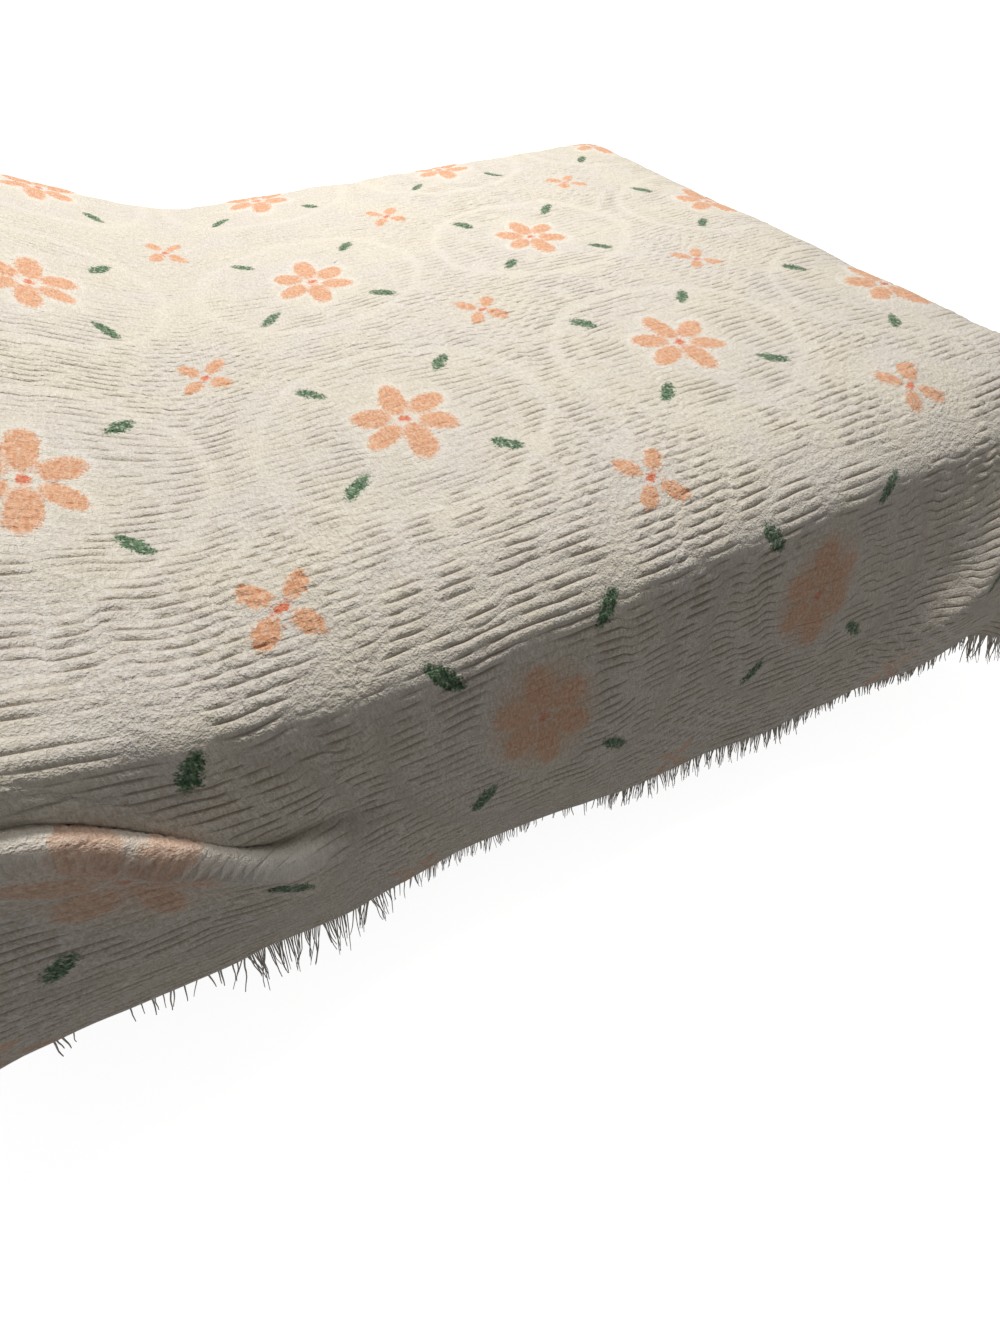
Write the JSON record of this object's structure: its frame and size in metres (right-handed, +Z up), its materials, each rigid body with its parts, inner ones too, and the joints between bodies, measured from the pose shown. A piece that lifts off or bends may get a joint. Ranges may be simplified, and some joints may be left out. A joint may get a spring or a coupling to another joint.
{
  "type": "chenille bedspread on a double bed",
  "caption": "Fringed cream chenille bedspread with peach flowers and green leaves, draped over pillows, a mattress and a plain platform bed.",
  "frame": {"origin": "middle of the plinth's underside, on the floor", "axes": "+Z up, +X from the pillows to the foot of the bed, +Y across to the far long side"},
  "size_m": [2.0864, 1.7085, 0.7323],
  "materials": {
    "chenille": "tufted cotton chenille, cream with peach flowers and green leaves",
    "fringe": "cut cotton yarn",
    "pillowcase": "plain cotton",
    "ticking": "woven cotton ticking",
    "dark_wood": "dark stained, satin"
  },
  "bodies": {
    "root": {"bedspread": "chenille", "fringe_near": "fringe", "fringe_near_corner": "fringe", "fringe_foot": "fringe", "fringe_far_corner": "fringe", "fringe_far": "fringe", "pillow_near": "pillowcase", "pillow_far": "pillowcase", "mattress": "ticking", "platform": "dark_wood", "plinth": "dark_wood"}
  },
  "joints": []
}
